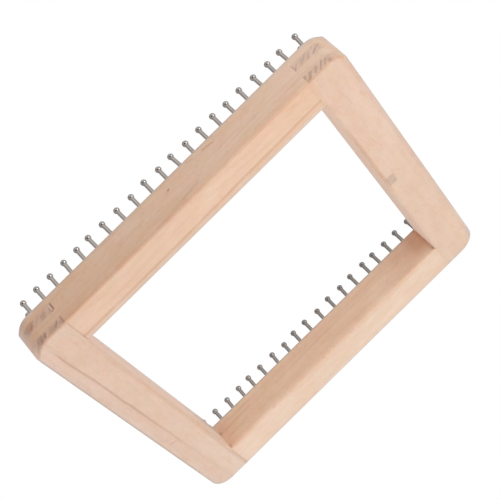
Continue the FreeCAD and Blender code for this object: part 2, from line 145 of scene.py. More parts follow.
    def bump(self, height, distance, strength=1.0, normal=None):
        node = self.new("ShaderNodeBump")
        self.put(node.inputs["Height"], height)
        self.put(node.inputs["Distance"], distance)
        self.put(node.inputs["Strength"], strength)
        if normal is not None:
            self.put(node.inputs["Normal"], normal)
        return node.outputs["Normal"]

    def finish(self, colour, rough, normal, **constants):
        shader = self.new("ShaderNodeBsdfPrincipled")
        self.put(shader.inputs["Base Color"], colour)
        self.put(shader.inputs["Roughness"], rough)
        self.put(shader.inputs["Normal"], normal)
        for key, value in constants.items():
            shader.inputs[key.replace("_", " ")].default_value = value
        out = self.new("ShaderNodeOutputMaterial")
        self.tree.links.new(shader.outputs[0], out.inputs[0])
        return self.mat


def srgb(r, g, b):
    def one(c):
        c /= 255.0
        return c / 12.92 if c <= 0.04045 else ((c + 0.055) / 1.055) ** 2.4
    return (one(r), one(g), one(b), 1.0)


# --------------------------------------------------------------------- wood
LIGHT = srgb(242, 213, 193)
MID = srgb(234, 199, 175)
DARK = srgb(172, 124, 98)
PLAIN = (1.0, 1.0, 1.0)


def wood(name, along, centre, turn, pith, seed, edges, ring=3.2, bands=1.0, lean=50.0, face_light_tints=None, marks=None):
    """Pale close-grained hardwood, worked out in the solid so that faces, ends
    and rounded edges all belong to one piece of timber.
    along: axis of the grain, x or y. centre: middle of the rail across the
    grain, mm. turn: direction of the growth rings in the section, degrees.
    pith: how far off the heart of the tree lies, mm. bands: how strongly the
    rings show on the faces. lean: slope of the saw marks on the ends.
    tones: painted light and shade, as a tint of each face at the two ends of
    the rail. edges: painted shade and light on the rounded edges, by edge."""
    t = Tree(name)
    coords = t.new("ShaderNodeTexCoord")
    x, y, z = t.split(coords.outputs["Object"])
    x, y, z = t.mul(x, 1000.0), t.mul(y, 1000.0), t.mul(z, 1000.0)
    nx, ny, nz = t.split(coords.outputs["Normal"])
    u = x if along == "x" else y
    a = t.sub(y if along == "x" else x, centre)
    b = t.sub(z, HEIGHT / 2)
    end = t.ab(nx if along == "x" else ny)
    side = t.mul(ny if along == "x" else nx, 1.0 if centre > 0 else -1.0)

    c, s = math.cos(math.radians(turn)), math.sin(math.radians(turn))
    radial = t.add(t.mul(a, c), t.mul(b, s))
    tangent = t.add(t.mul(a, -s), t.mul(b, c))
    us = t.add(u, seed * 137.0)

    # growth rings, bent a little along the length of the rail
    wander = t.noise(t.xyz(t.mul(us, 0.010), t.mul(radial, 0.025), t.mul(tangent, 0.025)), 1.0, 2.0, 0.5)
    waver = t.noise(t.xyz(t.mul(us, 0.045), t.mul(radial, 0.12), t.mul(tangent, 0.12)), 1.0, 2.0, 0.5)
    far = t.add(radial, pith)
    dist = t.math("SQRT", t.add(t.mul(far, far), t.mul(tangent, tangent)))
    rings = t.add(dist, t.add(t.mad(wander, 9.0, -4.5), t.mad(waver, 1.6, -0.8)))
    rings = t.div(rings, ring)
    phase = t.math("FRACT", rings)
    which = t.math("FLOOR", rings)
    white = t.new("ShaderNodeTexWhiteNoise", noise_dimensions="1D")
    t.put(white.inputs["W"], t.add(which, seed * 11.0))
    each = t.mad(white.outputs["Value"], 0.75, 0.25)
    late = t.mul(t.ramp(phase, 0.35, 0.92), t.ramp(phase, 0.93, 1.0, 1.0, 0.0))
    late = t.mul(late, each)

    # broad drifts of colour along the board
    drift = t.noise(t.xyz(t.mul(us, 0.012), t.mul(radial, 0.05), t.mul(tangent, 0.05)), 1.0, 3.0, 0.55)
    drift = t.ramp(drift, 0.36, 0.64)
    blotch = t.noise(t.xyz(t.mul(us, 0.05), t.mul(radial, 0.13), t.mul(tangent, 0.13)), 1.0, 2.0, 0.5)
    blotch = t.ramp(blotch, 0.35, 0.65)
    blush = t.noise(t.xyz(t.mul(us, 0.07), t.mul(a, 0.14), t.mul(b, 0.14)), 1.0, 2.0, 0.55)
    straw = t.noise(t.xyz(t.mul(us, 0.10), t.mul(a, 0.22), t.mul(b, 0.22)), 1.0, 1.0, 0.5)
    cloud = t.noise(t.xyz(t.mul(us, 0.20), t.mul(a, 0.33), t.mul(b, 0.33)), 1.0, 2.0, 0.6)

    # rays: thin radial sheets, seen as short dark dashes on the faces and as
    # hair lines on the ends
    cell = t.xyz(t.mul(us, 0.38), t.mul(radial, 0.10), t.mul(tangent, 2.2))
    rays = t.noise(cell, 1.0, 1.0, 0.6)
    rays = t.ramp(rays, 0.62, 0.75)
    cell2 = t.xyz(t.mul(us, 0.9), t.mul(radial, 0.5), t.mul(tangent, 5.5))
    fine = t.noise(cell2, 1.0, 2.0, 0.6)
    pores = t.noise(t.xyz(t.mul(us, 0.25), t.mul(radial, 4.0), t.mul(tangent, 4.0)), 1.0, 2.0, 0.6)
    pores = t.ramp(pores, 0.60, 0.78)
    fibre = t.noise(t.xyz(t.mul(us, 0.10), t.mul(radial, 2.2), t.mul(tangent, 2.2)), 1.0, 3.0, 0.6)
    streak = t.noise(t.xyz(t.mul(us, 0.018), t.mul(a, 0.55), t.mul(b, 0.55)), 1.0, 3.0, 0.6)

    colour = t.mix(t.mul(drift, 0.55), LIGHT, MID)
    colour = t.mix(t.mul(blotch, 0.38), colour, MID)
    ends = t.ramp(end, 0.35, 0.95)
    colour = t.mix(t.mul(late, t.ramp(end, 0.35, 0.95, 0.09 * bands, 0.14)), colour, DARK)
    streaky = t.mul(t.ramp(end, 0.35, 0.95, 0.09, 0.0), t.ramp(nz, -0.98, -0.80, 0.55, 1.0))
    colour = t.mix(t.mul(t.ramp(streak, 0.50, 0.78), streaky), colour, DARK)
    colour = t.mix(t.mul(rays, t.ramp(end, 0.3, 0.9, 0.20, 0.10)), colour, DARK)
    colour = t.mix(t.mul(pores, 0.10), colour, DARK)
    colour = t.mix(t.mul(t.ramp(fibre, 0.3, 0.7), 0.12), colour, MID)
    colour = t.tint(colour, t.ramp(blush, 0.42, 0.62), (1.012, 0.972, 0.972))
    colour = t.tint(colour, t.ramp(straw, 0.45, 0.65), (0.992, 0.985, 0.945))
    colour = t.tint(colour, t.ramp(cloud, 0.35, 0.70), (0.965, 0.96, 0.955))

    # ends: slanting smudges where the saw and the sander have worked dirt into
    # the open pores
    c2, s2 = math.cos(math.radians(lean)), math.sin(math.radians(lean))
    wob = t.noise(t.xyz(t.mul(a, 0.30), t.mul(b, 0.30), seed * 3.7), 1.0, 2.0, 0.6)
    down = t.add(t.mul(a, c2), t.mul(b, s2))
    over_ = t.add(t.add(t.mul(a, -s2), t.mul(b, c2)), t.mad(wob, 2.4, -1.2))
    smudge = t.noise(t.xyz(t.mul(over_, 0.60), t.mul(down, 0.16), t.mad(us, 0.02, seed)), 1.0, 3.0, 0.6)
    patchy = t.noise(t.xyz(t.mul(a, 0.16), t.mul(b, 0.20), seed * 5.1), 1.0, 1.0, 0.5)
    smudge = t.mul(t.ramp(smudge, 0.47, 0.72), t.ramp(patchy, 0.30, 0.60, 0.35, 1.0))
    colour = t.tint(colour, t.mul(ends, 0.8), (0.945, 0.925, 0.935))
    colour = t.tint(colour, t.mul(t.mul(ends, smudge), 0.30), (0.60, 0.55, 0.56))

    # painted light and shade: each face gets its own tint, changing along the rail
    if face_light_tints:
        f = t.ramp(u, -HALF + 12.0, HALF - 12.0, kind="LINEAR")
        for face, weight in (("under", t.ramp(nz, -0.96, -0.70, 1.0, 0.0)),
                             ("upper", t.ramp(nz, 0.70, 0.96)),
                             ("outer", t.ramp(side, 0.55, 0.92)),
                             ("inner", t.ramp(side, -0.92, -0.55, 1.0, 0.0))):
            if face in face_light_tints:
                lo, hi = face_light_tints[face]
                colour = t.mix(weight, colour, t.between(f, lo, hi), "MULTIPLY")

    # painted shade and painted light on the rounded edges, each edge with its own tint
    away = t.ab(nz)
    edge_shade_mask = t.ramp(away, 0.93, 0.997, 1.0, 0.0)
    low = t.mul(edge_shade_mask, t.ramp(nz, -0.30, -0.06, 1.0, 0.0))
    high = t.mul(edge_shade_mask, t.ramp(nz, 0.0, 0.14))
    w_out, w_in = t.ramp(side, 0.06, 0.30), t.ramp(side, -0.30, -0.06, 1.0, 0.0)
    w_out = t.mul(w_out, t.ramp(t.div(end, t.mx(t.ab(side), 0.02)), 0.25, 0.70, 1.0, 0.0))
    for weight, kind in ((low, "low"), (high, "high")):
        tone = t.between(w_out, edges[kind + "_end"], edges[kind + "_out"])
        tone = t.mix(w_in, tone, edges[kind + "_in"] + (1.0,))
        colour = t.mix(weight, colour, tone, "MULTIPLY")
    # painted shade: a greyer rim on the underside next to them
    across = t.mul(a, 1.0 if centre > 0 else -1.0)
    under = t.ramp(nz, -0.98, -0.90, 1.0, 0.0)
    rim = t.mul(under, t.ramp(across, 8.0, 10.2)) if edges["rim_side"] > 0 else t.mul(under, t.ramp(across, -10.2, -8.0, 1.0, 0.0))
    colour = t.tint(colour, rim, edges["rim"])
    # painted shade high on the inner and outer faces, below the upper rounded edge
    colour = t.tint(colour, t.mul(t.ramp(side, -0.98, -0.92, 1.0, 0.0), t.ramp(z, edges["top_from"], 20.4)), edges["top"])
    colour = t.tint(colour, t.mul(t.ramp(side, 0.92, 0.98), t.ramp(z, edges["top_from"], 20.4)), edges["top_out"])

    if marks:
        colour = marks(t, colour, x, y, z, nx, ny, nz, us)

    rough = t.add(t.mad(fine, 0.10, 0.50), t.mul(ends, 0.14))
    height = t.add(t.mul(fibre, 0.8), t.add(t.mul(rays, -0.35), t.mul(pores, -0.5)))
    height = t.add(height, t.add(t.mul(late, 0.35), t.mul(t.mul(ends, smudge), -0.6)))
    normal = t.bump(height, 0.00006, 0.6)
    return t.finish(colour, rough, normal, IOR=1.45, Specular_IOR_Level=0.30)


def wobble(t, u, v, size, scale, seed):
    """Two coordinates shaken a little, so that drawn lines aren't ruled."""
    n1 = t.noise(t.xyz(t.mul(u, scale), t.mul(v, scale), seed), 1.0, 2.0, 0.6)
    n2 = t.noise(t.xyz(t.mul(u, scale), t.mul(v, scale), seed + 17.3), 1.0, 2.0, 0.6)
    return t.add(u, t.mad(n1, 2 * size, -size)), t.add(v, t.mad(n2, 2 * size, -size))


def corner_shading(t, colour, x, y, z, nx, ny, nz):
    """Painted shade and painted highlight on the two front corners: duller and
    greyer where they turn into the sides and the top, paler along the very top edge."""
    corner_fringe_shade = t.mul(t.ramp(t.ab(nz), 0.72, 0.95, 1.0, 0.0), t.ramp(y, -102.6, -100.0, 1.0, 0.0))
    other = t.mul(x, -1.0)
    mottle = t.noise(t.xyz(t.mul(x, 0.25), t.mul(z, 0.22), 41.0), 1.0, 2.0, 0.55)
    left = t.mul(corner_fringe_shade, t.ramp(t.add(other, t.mad(mottle, 3.0, -1.5)), 100.8, 105.4))
    right = t.mul(corner_fringe_shade, t.ramp(t.add(x, t.mad(mottle, 3.0, -1.5)), 99.0, 103.2))
    # painted shade: both corners greyer where they turn towards the sides
    colour = t.tint(colour, t.mul(left, t.ramp(z, 8.5, 13.5, 0.45, 1.0)), (0.905, 0.94, 0.985))
    colour = t.tint(colour, right, (0.895, 0.915, 0.91))
    # painted grey shade next to the sides, where the corner still curves
    corner_fringe_shade = t.mul(corner_fringe_shade, t.ramp(t.ab(nx), 0.95, 0.998, 1.0, 0.15))
    colour = t.tint(colour, t.mul(corner_fringe_shade, t.ramp(other, 107.5, 109.2)), (1.0, 1.11, 1.23))
    colour = t.tint(colour, t.mul(corner_fringe_shade, t.ramp(x, 107.7, 109.3)), (0.965, 1.035, 1.12))
    # painted shade next to the pins as well
    far = t.ramp(t.ab(x), 95.0, 99.0)
    colour = t.tint(colour, t.mul(t.mul(corner_fringe_shade, far), t.ramp(z, 18.3, 20.5)), (0.925, 0.985, 1.08))
    colour = t.tint(colour, t.mul(t.mul(corner_fringe_shade, t.ramp(x, 101.0, 104.5)), t.ramp(z, 15.5, 19.0)), (0.935, 0.955, 0.975))
    # painted highlight along the very top edge, and painted light low down beside the left side
    edge_highlight = t.mul(corner_fringe_shade, t.ramp(z, 19.2, 20.6))
    colour = t.tint(colour, t.mul(edge_highlight, t.inside(other, 95.5, 102.5, 1.2)), (1.20, 1.20, 1.22))
    colour = t.tint(colour, t.mul(edge_highlight, t.inside(x, 96.5, 102.5, 1.2)), (1.08, 1.08, 1.06))
    colour = t.tint(colour, t.mul(t.mul(corner_fringe_shade, t.ramp(other, 105.8, 107.6)), t.ramp(z, 1.4, 3.2, 1.0, 0.0)), (1.13, 1.14, 1.12))
    return colour


def back_corner_shade(t, colour, x, y, nz, radius, rim):
    """Painted shade round the rounded back corner, seen on the underside: a greyer rim round it."""
    centre = HALF - radius
    cx, cy = t.mx(t.sub(t.ab(x), centre), 0.0), t.mx(t.sub(y, centre), 0.0)
    far = t.math("SQRT", t.add(t.mul(cx, cx), t.mul(cy, cy)))
    shade_fringe = t.mul(t.ramp(far, radius - 4.2, radius - 2.0), t.ramp(y, centre - 8.0, centre))
    return t.tint(colour, t.mul(t.ramp(nz, -0.75, -0.55, 1.0, 0.0), shade_fringe), rim)


def front_marks(t, colour, x, y, z, nx, ny, nz, us):
    under = t.ramp(nz, -0.97, -0.80, 1.0, 0.0)
    face = t.ramp(ny, -0.97, -0.80, 1.0, 0.0)
    xw, yw = wobble(t, x, y, 0.5, 0.06, 2.0)
    # a grain line in the underside near the window, and the strip beyond it
    line = t.add(y, t.ramp(x, -20.0, 75.0, 91.3, 93.2, "LINEAR"))
    line = t.add(line, t.mad(t.noise(t.xyz(t.mul(x, 0.05), 3.0, 0.0), 1.0, 2.0, 0.5), 1.0, -0.5))
    colour = t.tint(colour, t.mul(under, t.mul(t.ramp(line, -0.3, 0.8), 0.8)), (0.965, 0.94, 0.925))
    strong = t.noise(t.xyz(t.mul(x, 0.06), 9.0, 0.0), 1.0, 2.0, 0.5)
    colour = t.tint(colour, t.mul(under, t.mul(t.band(line, 0.0, 0.55, 0.90), t.ramp(strong, 0.30, 0.60, 0.60, 1.0))),
                    (0.865, 0.80, 0.755))
    colour = t.tint(colour, t.mul(under, t.mul(t.ramp(y, -90.8, -88.8), t.ramp(x, 0.0, 60.0))), (0.99, 1.035, 1.08))
    # browner towards the lower edge of the face, in long uneven streaks
    low = t.noise(t.xyz(t.mul(x, 0.022), 5.0, t.mul(z, 0.25)), 1.0, 2.0, 0.5)
    low = t.ramp(t.add(z, t.mad(low, 7.0, -3.5)), 1.0, 6.5, 1.0, 0.0)
    colour = t.tint(colour, t.mul(face, t.mul(low, 0.8)), (0.985, 0.945, 0.915))
    # grey-brown streaks and a few flecks on the face
    xf, zf = wobble(t, x, z, 0.5, 0.15, 5.0)
    brown = t.most([
        (t.stroke(xf, zf, (-20.0, 1.0), (2.0, 3.2), 0.5, 1.2), 0.3),
        (t.stroke(xf, zf, (-1.0, 3.4), (12.0, 5.0), 0.3, 1.0), 0.4),
        (t.stroke(xf, zf, (24.0, 17.9), (31.5, 16.7), 0.15, 0.5), 0.9),
        (t.stroke(xf, zf, (14.0, 19.2), (18.0, 18.4), 0.15, 0.5), 0.5),
        (t.stroke(xf, zf, (-40.0, 10.5), (-22.0, 11.5), 0.3, 0.9), 0.25),
        (t.stroke(xf, zf, (38.0, 8.5), (58.0, 9.5), 0.3, 0.8), 0.25)])
    colour = t.tint(colour, t.mul(face, brown), (0.80, 0.73, 0.68))
    colour = t.tint(colour, t.mul(face, t.stroke(x, z, (-2.8, 14.5), (-1.5, 14.9), 0.20, 0.55)), (0.56, 0.50, 0.46))
    colour = t.tint(colour, t.mul(face, t.stroke(xf, zf, (-4.2, 13.7), (-2.4, 14.4), 0.2, 0.8)), (0.90, 0.86, 0.82))
    # glue lines where the fingers of the side rails meet this one
    joint = t.mx(t.mul(t.band(x, -85.6, 0.20, 0.80), 0.55), t.mul(t.inside(x, 84.4, 86.0, 0.5), 0.18))
    joint = t.mul(joint, t.inside(y, -109.0, -87.0, 1.0))
    colour = t.tint(colour, t.mul(under, joint), (0.74, 0.66, 0.62))
    colour = t.tint(colour, t.mul(face, t.stroke(x, z, (-85.9, 5.6), (-85.9, 0.2), 0.15, 0.70)), (0.74, 0.68, 0.64))
    # open joint beside the tip of the upper left finger
    gap = t.mul(t.stroke(x, z, (-85.75, 16.5), (-85.75, 11.6), 0.10, 0.35), 1.0)
    colour = t.tint(colour, t.mul(face, gap), (0.42, 0.36, 0.34))
    return corner_shading(t, colour, x, y, z, nx, ny, nz)


def left_marks(t, colour, x, y, z, nx, ny, nz, us):
    under = t.ramp(nz, -0.97, -0.80, 1.0, 0.0)
    ends = t.ramp(ny, -0.95, -0.6, 1.0, 0.0)
    inner = t.ramp(nx, 0.6, 0.95)
    # a grain line that starts double and fades towards the back
    bend = t.mad(t.noise(t.xyz(4.0, t.mul(y, 0.03), 0.0), 1.0, 2.0, 0.5), 2.4, -1.2)
    line = t.sub(x, t.add(bend, t.mad(y, 0.013, -100.6)))
    fade = t.mul(t.ramp(y, -104.0, -90.0), t.ramp(y, -30.0, 70.0, 1.0, 0.25))
    colour = t.tint(colour, t.mul(under, t.mul(t.band(line, 0.0, 0.25, 0.85), fade)), (0.82, 0.755, 0.72))
    colour = t.tint(colour, t.mul(under, t.mul(t.band(line, 1.5, 0.1, 0.6), t.mul(t.ramp(y, -95.0, -60.0, 0.7, 0.1), 0.6))),
                    (0.92, 0.88, 0.86))
    # the strip outside that line is pinker
    colour = t.tint(colour, t.mul(under, t.ramp(line, -1.4, 0.0, 0.9, 0.0)), (0.985, 0.975, 0.995))
    # brown tinge along the window's edge
    colour = t.tint(colour, t.mul(under, t.mul(t.ramp(x, -88.9, -87.4), t.ramp(y, -86.0, -60.0, 0.3, 0.8))), (0.955, 0.91, 0.875))
    colour = t.tint(colour, t.mul(under, t.stroke(x, y, (-105.4, 35.2), (-101.8, 37.0), 0.25, 0.8)), (0.90, 0.85, 0.84))
    # glue line at the back
    colour = t.tint(colour, t.mul(under, t.mul(t.band(x, -86.3, 0.3, 1.3), t.inside(y, 87.0, 109.0, 1.0))), (0.965, 0.95, 0.955))
    # ends of the fingers on the front: a broad stain, cloudy, with slanting
    # strokes in it
    cloud = t.noise(t.xyz(t.mul(x, 0.30), t.mul(z, 0.40), 21.0), 1.0, 2.0, 0.55)
    colour = t.tint(colour, t.mul(ends, t.ramp(cloud, 0.30, 0.70, 0.55, 1.25)), (0.90, 0.875, 0.875))
    xs, zs = wobble(t, x, z, 0.4, 0.30, 7.0)
    colour = t.tint(colour, t.mul(ends, t.blob(xs, zs, (-102.0, 14.6), 4.4, 3.0, 15.0)), (0.87, 0.785, 0.71))
    colour = t.tint(colour, t.mul(ends, t.blob(xs, zs, (-103.2, 12.6), 2.4, 1.6)), (0.95, 0.95, 1.02))
    colour = t.tint(colour, t.mul(ends, t.blob(xs, zs, (-92.3, 13.6), 3.0, 2.8, 40.0)), (0.92, 0.90, 0.865))
    colour = t.tint(colour, t.mul(ends, t.blob(xs, zs, (-88.6, 15.0), 2.4, 2.4)), (1.02, 1.03, 1.09))
    colour = t.tint(colour, t.mul(ends, t.blob(xs, zs, (-93.0, 2.6), 3.6, 2.8)), (0.86, 0.85, 0.81))
    colour = t.tint(colour, t.mul(ends, t.blob(xs, zs, (-101.8, 3.0), 3.6, 3.2, 60.0)), (0.86, 0.845, 0.87))
    colour = t.tint(colour, t.mul(ends, t.blob(xs, zs, (-87.3, 2.6), 1.6, 2.2)), (0.86, 0.83, 0.81))
    dark = t.most([
        (t.stroke(xs, zs, (-88.5, 5.0), (-90.9, 2.1), 0.20, 0.85), 0.80),
        (t.stroke(xs, zs, (-97.1, 4.6), (-98.9, 1.6), 0.25, 0.90), 1.00),
        (t.stroke(xs, zs, (-99.4, 4.6), (-101.3, 1.4), 0.45, 1.00), 0.50),
        (t.stroke(xs, zs, (-102.7, 4.4), (-103.6, 2.8), 0.30, 1.00), 0.30),
        (t.stroke(xs, zs, (-105.0, 5.1), (-106.1, 3.4), 0.20, 0.90), 0.40),
        (t.stroke(xs, zs, (-99.7, 14.4), (-101.8, 11.7), 0.25, 0.90), 0.62),
        (t.stroke(xs, zs, (-105.4, 16.2), (-105.4, 13.2), 0.15, 0.80), 0.35),
        (t.stroke(xs, zs, (-98.2, 16.4), (-98.8, 14.6), 0.10, 0.70), 0.30),
        (t.stroke(xs, zs, (-93.3, 15.0), (-94.4, 12.8), 0.15, 0.80), 0.28)])
    colour = t.tint(colour, t.mul(ends, dark), (0.62, 0.555, 0.52))
    # the glue line between the lower finger and the front rail
    colour = t.tint(colour, t.mul(ends, t.stroke(x, z, (-86.1, 5.6), (-86.0, 0.2), 0.15, 0.70)), (0.74, 0.68, 0.64))
    # open joint round the tip of the upper finger
    gap = t.most([
        (t.stroke(x, z, (-86.05, 16.5), (-86.05, 11.6), 0.05, 0.30), 0.9),
        (t.stroke(x, z, (-86.0, 11.35), (-88.0, 11.55), 0.05, 0.45), 0.8),
        (t.stroke(x, z, (-87.9, 14.9), (-88.0, 11.7), 0.0, 0.45), 0.45)])
    colour = t.tint(colour, t.mul(ends, gap), (0.46, 0.40, 0.38))
    colour = t.tint(colour, t.mul(ends, t.stroke(x, z, (-87.0, 15.6), (-87.0, 12.4), 0.3, 0.4)), (1.12, 1.12, 1.14))
    # painted shade on the window face near the notch at its back end
    colour = t.tint(colour, t.mul(inner, t.ramp(y, 42.0, 74.0)), (0.93, 0.945, 0.955))
    colour = t.tint(colour, t.mul(inner, t.mul(t.ramp(y, 50.0, 68.0), t.ramp(z, 11.0, 18.0))), (0.91, 0.925, 0.93))
    colour = t.tint(colour, t.mul(inner, t.mul(t.ramp(y, 70.0, 78.0), t.ramp(z, 9.0, 16.0))), (0.93, 0.925, 0.90))
    colour = t.tint(colour, t.mul(inner, t.mul(t.ramp(y, 38.0, 48.0), t.ramp(z, 8.5, 12.5))), (0.95, 0.965, 0.985))
    colour = t.tint(colour, t.mul(inner, t.mul(t.ramp(y, 60.0, 70.0), t.ramp(z, 7.5, 11.5))), (0.96, 0.965, 0.94))
    colour = t.tint(colour, t.mul(inner, t.mul(t.ramp(y, 28.0, 40.0, 1.0, 0.0), t.ramp(z, 9.0, 13.0))), (0.985, 1.01, 1.04))
    colour = t.tint(colour, t.mul(under, t.mul(t.ramp(x, -88.5, -87.0), t.ramp(y, 50.0, 62.0))), (0.93, 0.92, 0.89))
    # painted shade round the back corner, and painted light on the lower rounded edge beside it
    colour = back_corner_shade(t, colour, x, y, nz, 10.5, (0.93, 0.995, 1.06))
    lit_turn = t.mul(t.inside(nz, -0.96, -0.40, 0.04), t.ramp(y, 70.0, 86.0))
    colour = t.tint(colour, lit_turn, (1.10, 1.12, 1.11))
    return corner_shading(t, colour, x, y, z, nx, ny, nz)


def right_marks(t, colour, x, y, z, nx, ny, nz, us):
    under = t.ramp(nz, -0.97, -0.80, 1.0, 0.0)
    ends = t.ramp(ny, -0.95, -0.6, 1.0, 0.0)
    inner = t.ramp(nx, -0.95, -0.6, 1.0, 0.0)
    down = t.ramp(nz, -0.30, -0.15, 1.0, 0.0)
    # a small grey knot beside the window, and the brown edge in front of it
    xk, yk = wobble(t, x, y, 0.7, 0.25, 3.0)
    knot = t.mul(t.inside(xk, 87.4, 93.0, 0.9), t.inside(yk, -2.4, 5.2, 0.9))
    colour = t.tint(colour, t.mul(under, knot), (0.80, 0.81, 0.83))
    colour = t.tint(colour, t.mul(under, t.blob(xk, yk, (91.5, 3.4), 1.6, 2.0)), (0.93, 0.94, 0.95))
    brown = t.mul(t.band(x, 87.0, 0.5, 1.1), t.ramp(y, -62.0, -45.0, 0.25, 1.0))
    brown = t.mul(brown, t.ramp(y, -2.0, 12.0, 1.0, 0.15))
    colour = t.tint(colour, t.mul(down, brown), (0.90, 0.83, 0.76))
    # faint marks of grain
    xw, yw = wobble(t, x, y, 1.2, 0.10, 8.0)
    faint = t.most([
        (t.stroke(xw, yw, (95.4, -92.0), (98.5, -70.0), 0.1, 0.6), 0.5),
        (t.stroke(xw, yw, (94.8, -40.0), (97.4, -28.0), 0.1, 0.5), 0.6),
        (t.stroke(xw, yw, (99.4, -36.0), (103.2, -33.0), 0.1, 0.5), 0.4),
        (t.stroke(xw, yw, (97.0, 20.0), (99.0, 60.0), 0.1, 0.6), 0.35),
        (t.stroke(xw, yw, (103.5, -20.0), (104.5, 30.0), 0.1, 0.8), 0.3)])
    colour = t.tint(colour, t.mul(under, faint), (0.90, 0.86, 0.84))
    colour = t.tint(colour, t.mul(under, t.blob(xw, yw, (106.0, -74.0), 2.2, 7.0)), (0.985, 0.93, 0.90))
    # ends of the fingers on the front: mottled, with faint slanting strokes
    cloud = t.noise(t.xyz(t.mul(x, 0.28), t.mul(z, 0.40), 33.0), 1.0, 2.0, 0.55)
    colour = t.tint(colour, t.mul(ends, t.ramp(cloud, 0.30, 0.70, 0.4, 1.2)), (0.945, 0.94, 0.955))
    xs, zs = wobble(t, x, z, 0.4, 0.30, 11.0)
    colour = t.tint(colour, t.mul(ends, t.mul(t.ramp(x, 100.0, 104.0, 1.0, 0.45), t.ramp(x, 86.0, 88.5))), (1.155, 1.215, 1.25))
    colour = t.tint(colour, t.mul(ends, t.blob(xs, zs, (92.6, 14.0), 3.4, 2.6, 30.0)), (0.955, 0.96, 0.985))
    colour = t.tint(colour, t.mul(ends, t.blob(xs, zs, (106.7, 1.0), 1.8, 1.6)), (0.88, 0.80, 0.70))
    dark = t.most([
        (t.stroke(xs, zs, (87.9, 5.3), (86.2, 3.0), 0.30, 0.9), 0.50),
        (t.stroke(xs, zs, (90.8, 4.9), (87.9, 1.0), 0.35, 0.9), 0.90),
        (t.stroke(xs, zs, (95.2, 4.9), (92.2, 1.6), 0.30, 0.8), 0.85),
        (t.stroke(xs, zs, (98.9, 4.9), (95.0, 0.4), 0.12, 0.7), 0.95),
        (t.stroke(xs, zs, (101.4, 4.6), (98.4, 1.2), 0.30, 0.8), 0.85),
        (t.stroke(xs, zs, (103.0, 2.6), (101.0, 0.6), 0.35, 0.9), 0.80),
        (t.stroke(xs, zs, (89.6, 15.0), (86.2, 11.7), 0.05, 0.55), 0.75),
        (t.stroke(xs, zs, (93.6, 14.8), (90.8, 12.4), 0.15, 0.8), 0.55),
        (t.stroke(xs, zs, (95.4, 15.6), (93.0, 13.3), 0.15, 0.7), 0.65),
        (t.stroke(xs, zs, (96.4, 13.3), (95.2, 12.0), 0.15, 0.7), 0.45),
        (t.stroke(xs, zs, (102.2, 14.1), (98.7, 11.7), 0.15, 0.7), 0.90),
        (t.stroke(xs, zs, (104.7, 15.4), (102.0, 14.0), 0.15, 0.8), 0.60),
        (t.stroke(xs, zs, (101.0, 16.2), (100.0, 14.8), 0.20, 0.8), 0.45),
        (t.stroke(xs, zs, (86.2, 15.8), (86.0, 13.2), 0.30, 0.9), 0.30)])
    colour = t.tint(colour, t.mul(ends, dark), (0.755, 0.715, 0.695))
    # orange tinge where this corner meets the underside
    colour = t.tint(colour, t.mul(t.ramp(nz, -0.20, -0.05, 1.0, 0.0), t.blob(x, y, (107.2, -105.6), 2.6, 2.4)), (1.0, 0.93, 0.84))
    # yellower towards the back corner
    colour = t.tint(colour, t.mul(under, t.mul(t.ramp(x, 98.0, 102.0), t.ramp(y, 60.0, 84.0))), (0.985, 0.955, 0.925))
    # painted shade round the back corner, and painted light on the lower rounded edge beside it
    colour = back_corner_shade(t, colour, x, y, nz, 12.0, (0.915, 0.995, 1.10))
    lit_turn = t.mul(t.inside(nz, -0.96, -0.40, 0.04), t.mul(t.ramp(y, 66.0, 82.0), t.ramp(x, 92.0, 98.0)))
    colour = t.tint(colour, lit_turn, (1.04, 1.085, 1.12))
    # joint with the back rail
    seam = t.mul(t.inside(x, 87.6, 90.6, 0.8), t.inside(y, 86.0, 109.0, 1.5))
    colour = t.tint(colour, t.mul(under, seam), (0.955, 0.96, 0.94))
    return corner_shading(t, colour, x, y, z, nx, ny, nz)


